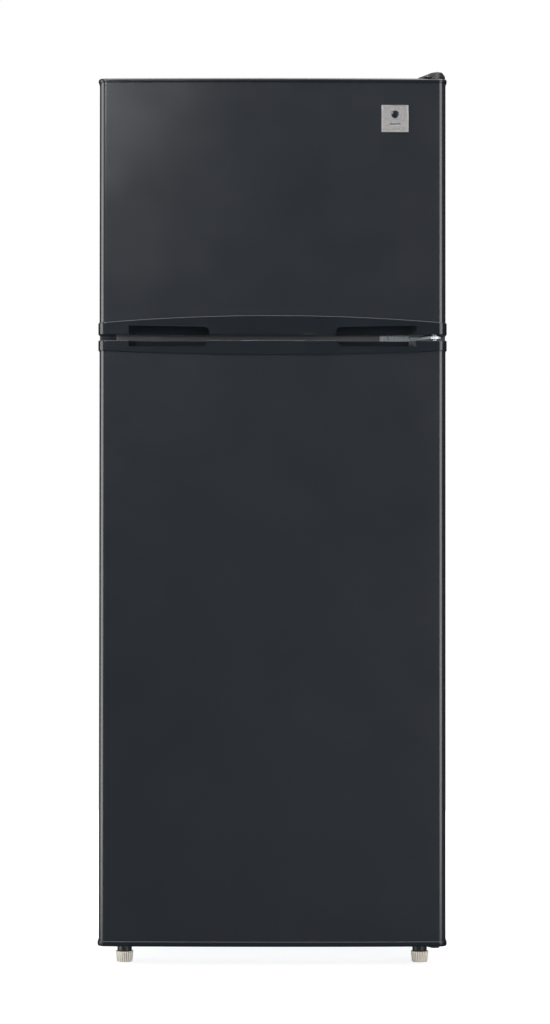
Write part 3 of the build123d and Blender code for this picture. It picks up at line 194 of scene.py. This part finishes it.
def coated(name, colour, rough, grain=900.0, depth=0.02, vary=0.12, rough_vary=0.06, coat=0.0, spec=0.5):
    """Paint or moulded plastic: cloudy colour, uneven gloss and a fine orange-peel or moulded grain."""
    look = Look(name)
    cloud = look.noise(2.3, 4.0)
    fine = look.noise(grain, 2.0)
    look.set(
        Base_Color=look.blend(look.spread(cloud, 0.0, 1.0), shade(colour, 1 - vary), shade(colour, 1 + vary)),
        Roughness=look.spread(look.noise(14.0, 5.0), rough - rough_vary, rough + rough_vary),
        Normal=look.bump(fine, depth * MM, 0.6),
        Specular_IOR_Level=spec,
        Coat_Weight=coat,
        Coat_Roughness=0.1,
    )
    return look.mat


def rolled_metal(name, colour, rough, stretch=(1, 1, 1), grain=260.0, vary=0.15, metallic=1.0):
    """Bare or plated metal with a grain that may run along one axis."""
    look = Look(name)
    lines = look.noise(grain, 4.0, stretch)
    spangle = look.cells(55.0)
    look.set(
        Base_Color=look.blend(look.spread(lines, 0.0, 1.0), shade(colour, 1 - vary), shade(colour, 1 + vary)),
        Roughness=look.spread(look.noise(grain / 3, 3.0, stretch), rough - 0.07, rough + 0.09),
        Normal=look.bump(lines, 0.01 * MM, 0.5, look.bump(spangle, 0.004 * MM, 0.25)),
        Metallic=metallic,
    )
    return look.mat


def clear(name, colour, rough):
    """Glass or clear plastic with a faint surface wave and smears in its gloss."""
    look = Look(name)
    haze = look.spread(look.noise(5.0), 0.0, 1.0)
    look.set(
        Base_Color=look.blend(haze, shade(colour, 0.97), shade(colour, 1.0)),
        Roughness=look.spread(look.noise(9.0, 5.0), rough * 0.5, rough * 1.6),
        Normal=look.bump(look.noise(30.0), 0.02 * MM, 0.4),
        Transmission_Weight=1.0,
        IOR=1.46,
    )
    return look.mat


def foam_look():
    """Open bubbles in a pale yellow that varies from place to place."""
    look = Look("foam")
    bubbles = look.cells(1400.0)
    cloud = look.spread(look.noise(30.0, 4.0), 0.0, 1.0)
    look.set(
        Base_Color=look.blend(cloud, (0.62, 0.5, 0.26, 1), (0.78, 0.68, 0.42, 1)),
        Roughness=look.spread(bubbles, 0.8, 0.95, 0.0, 0.6),
        Normal=look.bump(bubbles, 0.3 * MM),
    )
    return look.mat


def foot_look():
    """Moulded plastic with painted shade towards the bottoms of the flutes, which lie nearer to the foot's
    axis.
    """
    low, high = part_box("right_foot")
    radius = (high.x - low.x) / 2
    # The feet stand opposite each other, so the place without its signs has the same axis for both.
    axis = ((low.x + high.x) / 2, abs(low.y + high.y) / 2, 0.0)
    look = Look("foot_plastic")
    mirrored = look.node("ShaderNodeVectorMath", operation="ABSOLUTE")
    look.feed(mirrored.inputs[0], look.place)
    out = look.node("ShaderNodeVectorMath", operation="SUBTRACT")
    look.feed(out.inputs[0], mirrored.outputs["Vector"])
    out.inputs[1].default_value = axis
    level = look.node("ShaderNodeVectorMath", operation="MULTIPLY")
    look.feed(level.inputs[0], out.outputs["Vector"])
    level.inputs[1].default_value = (1.0, 1.0, 0.0)
    reach = look.node("ShaderNodeVectorMath", operation="LENGTH")
    look.feed(reach.inputs[0], level.outputs["Vector"])
    # Mask for the painted shade in the flutes: 0 at the flute bottoms, 1 out on the ridges.
    flute_shade_mask = look.spread(reach.outputs["Value"], 0.0, 1.0, radius - FLUTE_SHADE_FULL, radius - FLUTE_SHADE_START)
    cloud = look.spread(look.noise(60.0, 4.0), 0.0, 1.0)
    ridge = look.blend(cloud, (0.46, 0.43, 0.38, 1), (0.56, 0.53, 0.47, 1))
    look.set(
        # The dark colour is painted shade in the flute bottoms, not the plastic's own colour.
        Base_Color=look.blend(flute_shade_mask, (0.07, 0.062, 0.052, 1), ridge),
        Roughness=look.spread(look.noise(14.0, 5.0), 0.4, 0.5),
        Normal=look.bump(look.noise(900.0, 2.0), 0.04 * MM, 0.6),
    )
    return look.mat


LOOKS = {
    "door_steel": coated(
        "door_steel", (0.0074, 0.009, 0.0116), 0.22, grain=1500.0, depth=0.01, vary=0.05, rough_vary=0.02
    ),
    "cabinet_steel": coated("cabinet_steel", (0.02, 0.023, 0.029), 0.46, grain=700.0, depth=0.05, vary=0.08),
    "galvanised": rolled_metal("galvanised", (0.56, 0.62, 0.67), 0.36, metallic=0.35),
    "dark_cap": coated(
        "dark_cap",
        (0.0048, 0.0066, 0.009),
        0.2,
        grain=1100.0,
        depth=0.006,
        vary=0.06,
        rough_vary=0.03,
        spec=0.4,
    ),
    "dark_plastic": coated("dark_plastic", (0.01, 0.011, 0.013), 0.42, grain=1300.0, depth=0.04, vary=0.15),
    "grey_bar": coated("grey_bar", (0.12, 0.13, 0.138), 0.45, grain=900.0, depth=0.02, vary=0.08),
    "white_liner": coated("white_liner", (0.6, 0.61, 0.605), 0.34, grain=240.0, depth=0.03, vary=0.015),
    "clear_plastic": clear("clear_plastic", (0.93, 0.96, 0.98), 0.08),
    "gasket_rubber": coated("gasket_rubber", (0.035, 0.037, 0.041), 0.62, grain=1500.0, depth=0.03),
    "foam": foam_look(),
    "shelf_glass": clear("shelf_glass", (0.9, 0.97, 0.94), 0.03),
    "badge": rolled_metal(
        "badge", (0.2, 0.2, 0.2), 0.34, stretch=(0.5, 1, 1), grain=600.0, vary=0.35, metallic=0.5
    ),
    "black_steel": coated(
        "black_steel", (0.014, 0.014, 0.015), 0.4, grain=500.0, depth=0.04, vary=0.2, coat=0.2
    ),
    "copper": rolled_metal("copper", (0.72, 0.36, 0.22), 0.33, grain=120.0, vary=0.22),
    "rubber_black": coated("rubber_black", (0.018, 0.018, 0.018), 0.75, grain=800.0, depth=0.06),
    "foot_plastic": foot_look(),
    "roller_plastic": coated("roller_plastic", (0.6, 0.59, 0.55), 0.5, grain=900.0, depth=0.04, vary=0.1),
    "wire_white": coated("wire_white", (0.78, 0.79, 0.8), 0.35, grain=600.0, depth=0.04, vary=0.03),
    "alu_coil": rolled_metal("alu_coil", (0.7, 0.71, 0.72), 0.35, grain=200.0),
    "lamp_glass": clear("lamp_glass", (0.98, 0.97, 0.93), 0.35),
}

for node, obj in NODES.items():
    obj.data.materials.clear()
    obj.data.materials.append(LOOKS[SLOT_OF[node]])


# --- Detail pieces -----------------------------------------------------------------------------------
def piece(name, shape, slot, body, smooth_deg=40.0):
    """Turns a bmesh into one named piece that rides on a CAD body and wears a slot's material."""
    bmesh.ops.recalc_face_normals(shape, faces=shape.faces)
    for face in shape.faces:
        face.smooth = True
    for edge in shape.edges:
        edge.smooth = len(edge.link_faces) == 2 and edge.calc_face_angle(0.0) < math.radians(smooth_deg)
    mesh = bpy.data.meshes.new(name)
    shape.to_mesh(mesh)
    shape.free()
    mesh.materials.append(LOOKS[slot])
    made = bpy.data.objects.new(name, mesh)
    bpy.context.scene.collection.objects.link(made)
    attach(made, body)
    return made


def loft(shape, sections, closed):
    """Joins rings of points, one after another, into a skin. An open loft gets flat end faces."""
    rings = [[shape.verts.new(point) for point in section] for section in sections]
    pairs = list(zip(rings, rings[1:] + rings[:1])) if closed else list(zip(rings, rings[1:]))
    for one, two in pairs:
        for i, vert in enumerate(one):
            j = (i + 1) % len(one)
            shape.faces.new((vert, one[j], two[j], two[i]))
    if not closed:
        shape.faces.new(rings[0])
        shape.faces.new(rings[-1])


def mitred_ring(shape, x0, x1, z0, z1, profile):
    """A picture-frame ring about Y. Each profile point is (distance inwards from the edge, Y)."""
    corners = ((x0, z0, 1, 1), (x1, z0, -1, 1), (x1, z1, -1, -1), (x0, z1, 1, -1))
    loft(shape, [[(x + dx * t, y, z + dz * t) for t, y in profile] for x, z, dx, dz in corners], True)


def lathe(shape, centre, axis, profile, steps):
    """A turned solid with flat ends. Profile points are (radius, distance along the axis)."""
    axis = Vector(axis)
    side = axis.orthogonal().normalized()
    other = axis.cross(side)
    rings = []
    for radius, along in profile:
        ring = []
        for step in range(steps):
            turn = 2 * math.pi * step / steps
            out = side * math.cos(turn) + other * math.sin(turn)
            ring.append(Vector(centre) + out * radius + axis * along)
        rings.append(ring)
    loft(shape, rings, False)


def band(shape, path, half_w, half_h):
    """A bead with rounded edges along a level path."""
    sections = []
    for i, point in enumerate(path):
        before, after = Vector(path[max(i - 1, 0)]), Vector(path[min(i + 1, len(path) - 1)])
        along = (after - before).normalized()
        out = along.cross(Vector((0, 0, 1)))
        ring = []
        for step in range(8):
            turn = math.pi * (step + 0.5) / 4
            across = max(-1.0, min(1.0, 1.3 * math.cos(turn))) * half_w
            up = max(-1.0, min(1.0, 1.3 * math.sin(turn))) * half_h
            ring.append(Vector(point) + out * across + Vector((0, 0, up)))
        sections.append(ring)
    loft(shape, sections, False)


def tray_path(x0, x1, y0, y1, z, corner):
    """From the front left, round the two rear corners, to the front right."""
    path = [(x0, y0, z)]
    for centre_x, start in ((x0 + corner, math.pi), (x1 - corner, math.pi / 2)):
        for step in range(9):
            turn = start - math.pi / 2 * step / 8
            path.append((centre_x + corner * math.cos(turn), y1 - corner + corner * math.sin(turn), z))
    return path + [(x1, y0, z)]


def door_seal(door):
    """Magnetic seal with a pleated neck and mitred corners, in place of the plain ring."""
    low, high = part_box(f"{door}_gasket")
    foot = low.y
    section = [(0, 0), (16, 0), (16, 2.4), (13, 3.0), (10.4, 3.6), (12.8, 4.6), (10.4, 5.6), (14.6, 6.2)]
    section += [(15.5, 7.0), (15.2, 9.4), (14.0, 9.9), (2.0, 9.9), (0.8, 9.4), (0.5, 7.0), (1.4, 6.2)]
    section += [(5.6, 5.6), (3.2, 4.6), (5.6, 3.6), (3, 3.0), (0, 2.4)]
    shape = bmesh.new()
    mitred_ring(shape, low.x, high.x, low.z, high.z, [(t * MM, foot + depth * MM) for t, depth in section])
    seal = piece(f"{door}_seal", shape, "gasket_rubber", door, 25.0)
    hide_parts(f"{door}_gasket")


def bin_beads(door, floors):
    """Rolled rims and two raised lines round each door bin."""
    low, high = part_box(f"{door}_bins")
    shape = bmesh.new()
    for floor, height in floors:
        mid_wall = BIN_WALL / 2
        rim = tray_path(
            low.x + mid_wall,
            high.x - mid_wall,
            low.y + BIN_RIM_START,
            high.y - mid_wall,
            floor + height,
            BIN_CORNER - mid_wall,
        )
        band(shape, rim, 2.6 * MM, 2.4 * MM)
        for share in (0.3, 0.62):
            line = tray_path(low.x, high.x, low.y + 2 * MM, high.y, floor + height * share, BIN_CORNER)
            band(shape, line, 0.7 * MM, 1.6 * MM)
    piece(f"{door}_bin_beads", shape, "clear_plastic", door)


def drawer_beads():
    """Rolled rims on the drawer's sides and three raised lines across its front."""
    low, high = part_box("crisper_drawer")
    tub_front = low.y + 12 * MM
    rim_y0, rim_y1 = tub_front + 12 * MM, high.y - 12 * MM
    line_x0, line_x1 = low.x + 14 * MM, high.x - 14 * MM
    shape = bmesh.new()
    for side in (low.x + BIN_WALL / 2, high.x - BIN_WALL / 2):
        band(shape, [(side, rim_y0, high.z), (side, rim_y1, high.z)], 2.6 * MM, 2.2 * MM)
    for share in (0.22, 0.3, 0.38):
        z = low.z + (high.z - low.z) * share
        band(shape, [(line_x0, tub_front, z), (line_x1, tub_front, z)], 0.8 * MM, 1.8 * MM)
    piece("crisper_drawer_beads", shape, "clear_plastic", "crisper_drawer")


def badge_face():
    """A plain badge: a bevelled border, a domed dark dot and one thin dark line. It has no lettering."""
    low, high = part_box("badge_plate")
    face = low.y
    middle = (low.x + high.x) / 2
    border = bmesh.new()
    rim = [(0, face + 0.6 * MM), (0.5 * MM, face - 0.15 * MM), (1.1 * MM, face - 0.25 * MM), (2.0 * MM, face)]
    mitred_ring(border, low.x, high.x, low.z, high.z, rim + [(2.0 * MM, face + 0.6 * MM)])
    piece("badge_border", border, "badge", "freezer_door", 20.0)
    dot = bmesh.new()
    size = high.z - low.z
    centre = (middle, face + 0.3 * MM, low.z + 0.66 * size)
    dome = [(6.6, 0.0), (6.6, 0.7), (6.1, 1.0), (4.4, 1.3), (2.0, 1.45), (0.1, 1.5)]
    lathe(dot, centre, (0, -1, 0), [(radius * MM, along * MM) for radius, along in dome], 40)
    piece("badge_dot", dot, "dark_cap", "freezer_door")
    line = bmesh.new()
    z = low.z + 0.3 * size
    half = 9 * MM
    band(line, [(middle - half, face, z), (middle + half, face, z)], 0.12 * MM, 0.6 * MM)
    piece("badge_line", line, "dark_cap", "freezer_door")


def pan_screw(shape, place, axis, radius):
    """A pan head with a dished top."""
    profile = [(1.0, -0.3), (1.0, 0.12), (0.9, 0.38), (0.66, 0.56), (0.3, 0.62), (0.22, 0.36), (0.02, 0.34)]
    lathe(shape, place, axis, [(r * radius, a * radius) for r, a in profile], 20)


def cabinet_hems():
    """Folded edges of the steel wrapper, round its front and round the back panel."""
    low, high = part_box("cabinet_wrapper")
    panel_low, panel_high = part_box("cabinet_back_panel")
    shape = bmesh.new()
    front = (low.y, 1, 3.0, 24.0, low.z)
    rear = (panel_high.y, -1, 9.0, 6.0, panel_low.z)
    for edge_y, inwards, width, depth, bottom in (front, rear):
        fold = [(-0.3, depth), (-0.3, -0.3), (width, -0.3), (width, 0.2), (0.2, 0.2), (0.2, depth)]
        profile = [(across * MM, edge_y + inwards * along * MM) for across, along in fold]
        mitred_ring(shape, low.x, high.x, bottom, high.z, profile)
    piece("cabinet_hems", shape, "cabinet_steel", "cabinet", 20.0)


def back_details():
    """Panel screws, two stamped ribs on the back and the screws of the evaporator cover."""
    low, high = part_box("cabinet_back_panel")
    screws = bmesh.new()
    bottom, top = low.z + PANEL_SCREW_INSET, high.z - PANEL_SCREW_INSET
    for row in range(PANEL_SCREW_ROWS):
        z = bottom + (top - bottom) * row / (PANEL_SCREW_ROWS - 1)
        for x in (low.x + PANEL_SCREW_INSET, high.x - PANEL_SCREW_INSET):
            pan_screw(screws, (x, high.y, z), (0, 1, 0), PANEL_SCREW_RADIUS)
    for x in PANEL_SCREW_COLUMNS:
        for z in (bottom, top):
            pan_screw(screws, (x, high.y, z), (0, 1, 0), PANEL_SCREW_RADIUS)
    piece("back_panel_screws", screws, "galvanised", "cabinet")
    ribs = bmesh.new()
    for x in (low.x + PANEL_RIB_INSET, high.x - PANEL_RIB_INSET):
        ends = [(x, high.y, low.z + PANEL_RIB_END), (x, high.y, high.z - PANEL_RIB_END)]
        section = [(-6, -0.4), (-4.2, 1.0), (-2.2, 1.8), (2.2, 1.8), (4.2, 1.0), (6, -0.4)]
        rings = [[(px + dx * MM, py + dy * MM, pz) for dx, dy in section] for px, py, pz in ends]
        loft(ribs, rings, False)
    piece("back_panel_ribs", ribs, "galvanised", "cabinet", 20.0)
    low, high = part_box("evaporator_cover")
    screws = bmesh.new()
    for x in (low.x + COVER_SCREW_INSET, high.x - COVER_SCREW_INSET):
        for z in (low.z + COVER_SCREW_INSET, high.z - COVER_SCREW_INSET):
            pan_screw(screws, (x, low.y, z), (0, -1, 0), COVER_SCREW_RADIUS)
    piece("evaporator_cover_screws", screws, "white_liner", "cabinet")


def control_marks():
    """Raised setting marks round the thermostat knob, thicker towards the cold end, and the lens's ribs."""
    low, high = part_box("thermostat_knob")
    box_low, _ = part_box("control_box")
    face = box_low.y + 14 * MM
    centre_x, centre_z = (low.x + high.x) / 2, (low.z + high.z) / 2
    marks = bmesh.new()
    for step in range(KNOB_MARKS):
        turn = math.radians(-120 + 40 * step)
        out = Vector((math.sin(turn), 0, math.cos(turn)))
        across = Vector((out.z, 0, -out.x))
        width = (0.5 + 0.16 * step) * MM
        ring = []
        for along, side in ((19.4, -1), (22.4, -1), (22.4, 1), (19.4, 1)):
            ring.append(Vector((centre_x, 0, centre_z)) + out * along * MM + across * side * width)
        rings = [[point + Vector((0, face + y * MM, 0)) for point in ring] for y in (0.3, -0.3)]
        loft(marks, rings, False)
    piece("thermostat_marks", marks, "dark_plastic", "cabinet")
    low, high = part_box("lamp_cover")
    ribs = bmesh.new()
    for step in range(1, LAMP_GAPS):
        x = low.x + (high.x - low.x) * step / LAMP_GAPS
        band(ribs, [(x, low.y + 6 * MM, low.z), (x, high.y - 6 * MM, low.z)], 1.6 * MM, 0.8 * MM)
    piece("lamp_cover_ribs", ribs, "clear_plastic", "cabinet")


def compressor_details():
    """The crimped service stub and the weld seam round the shell's rim."""
    low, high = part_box("compressor")
    centre_x = (low.x + high.x) / 2
    centre_y = (low.y + high.y) / 2
    seam = bmesh.new()
    section = [(69.6, 152.6), (71.0, 153.4), (71.3, 155.0), (71.0, 156.6), (69.6, 157.4)]
    lathe(seam, (centre_x, centre_y, 0), (0, 0, 1), [(r * MM, z * MM) for r, z in section], 72)
    piece("compressor_seam", seam, "black_steel", "cabinet")
    stub = bmesh.new()
    profile = [(3.2, 0), (3.2, 26), (3.0, 28), (1.4, 31), (1.2, 40), (1.5, 41), (1.2, 42)]
    place = (centre_x - 0.028, centre_y - 0.03, high.z - 0.012)
    lathe(stub, place, (0, 0, 1), [(r * MM, along * MM) for r, along in profile], 20)
    piece("compressor_service_stub", stub, "copper", "cabinet")


for door, floors in DOOR_BINS.items():
    door_seal(door)
    bin_beads(door, floors)
drawer_beads()
badge_face()
cabinet_hems()
back_details()
control_marks()
compressor_details()


# --- Studio ------------------------------------------------------------------------------------------

def aimed(obj, target):
    """Turns an object's -Z towards a point."""
    direction = Vector(target) - obj.location
    obj.rotation_euler = direction.to_track_quat("-Z", "Y").to_euler()
    return obj


def softbox(name, place, target, width, height, watts, colour, mirrored):
    light = bpy.data.lights.new(name, "AREA")
    light.shape = "RECTANGLE"
    light.size = width
    light.size_y = height
    light.energy = watts
    light.color = colour
    lamp = bpy.data.objects.new(name, light)
    bpy.context.scene.collection.objects.link(lamp)
    lamp.location = place
    lamp.visible_glossy = mirrored
    return aimed(lamp, target)


def studio_floor():
    """A pale round floor, mostly lit by its own glow, so that it blends into the white backdrop."""
    shape = bmesh.new()
    bmesh.ops.create_circle(shape, cap_ends=True, radius=FLOOR_RADIUS, segments=96)
    mesh = bpy.data.meshes.new("floor")
    shape.to_mesh(mesh)
    shape.free()
    floor = bpy.data.objects.new("floor", mesh)
    bpy.context.scene.collection.objects.link(floor)
    look = Look("floor_white")
    cloud = look.spread(look.noise(1.2, 4.0), 0.0, 1.0)
    pale = look.blend(cloud, (0.26, 0.26, 0.26, 1), (0.3, 0.3, 0.3, 1))
    look.set(Base_Color=pale, Roughness=0.6, Emission_Color=(1, 1, 1, 1), Emission_Strength=FLOOR_GLOW)
    mesh.materials.append(look.mat)
    floor.visible_glossy = False


def studio_world():
    """The camera sees white. All else is lit by a dome, bright above and dark at the horizon."""
    world = bpy.data.worlds.new("studio")
    world.use_nodes = True
    bpy.context.scene.world = world
    tree = world.node_tree
    tree.nodes.clear()
    place = tree.nodes.new("ShaderNodeTexCoord")
    split = tree.nodes.new("ShaderNodeSeparateXYZ")
    ramp = tree.nodes.new("ShaderNodeMapRange")
    dome = tree.nodes.new("ShaderNodeBackground")
    white = tree.nodes.new("ShaderNodeBackground")
    seen = tree.nodes.new("ShaderNodeLightPath")
    mix = tree.nodes.new("ShaderNodeMixShader")
    out = tree.nodes.new("ShaderNodeOutputWorld")
    ramp.inputs["From Min"].default_value, ramp.inputs["From Max"].default_value = DOME_RISE
    ramp.inputs["To Min"].default_value = HORIZON
    ramp.inputs["To Max"].default_value = ZENITH
    dome.inputs["Strength"].default_value = DOME_STRENGTH
    white.inputs["Color"].default_value = (1, 1, 1, 1)
    for a, b in (
        (place.outputs["Generated"], split.inputs["Vector"]),
        (split.outputs["Z"], ramp.inputs["Value"]),
        (ramp.outputs["Result"], dome.inputs["Color"]),
        (seen.outputs["Is Camera Ray"], mix.inputs["Fac"]),
        (dome.outputs["Background"], mix.inputs[1]),
        (white.outputs["Background"], mix.inputs[2]),
        (mix.outputs["Shader"], out.inputs["Surface"]),
    ):
        tree.links.new(a, b)


def studio_camera():
    camera = bpy.data.objects.new("camera", bpy.data.cameras.new("camera"))
    bpy.context.scene.collection.objects.link(camera)
    camera.data.lens = LENS_MM
    camera.data.sensor_width = SENSOR_MM
    camera.data.clip_end = CAMERA_REACH
    camera.location = (0, FRONT_Y - CAMERA_BACK, CAMERA_HEIGHT)
    camera.rotation_mode = "XYZ"
    camera.rotation_euler = (math.pi / 2 + CAMERA_TILT, CAMERA_ROLL, CAMERA_PAN)
    bpy.context.scene.camera = camera


studio_floor()
studio_world()
studio_camera()
for softbox_facts in SOFTBOXES:
    softbox(*softbox_facts)
bpy.context.scene.view_settings.view_transform = "Standard"
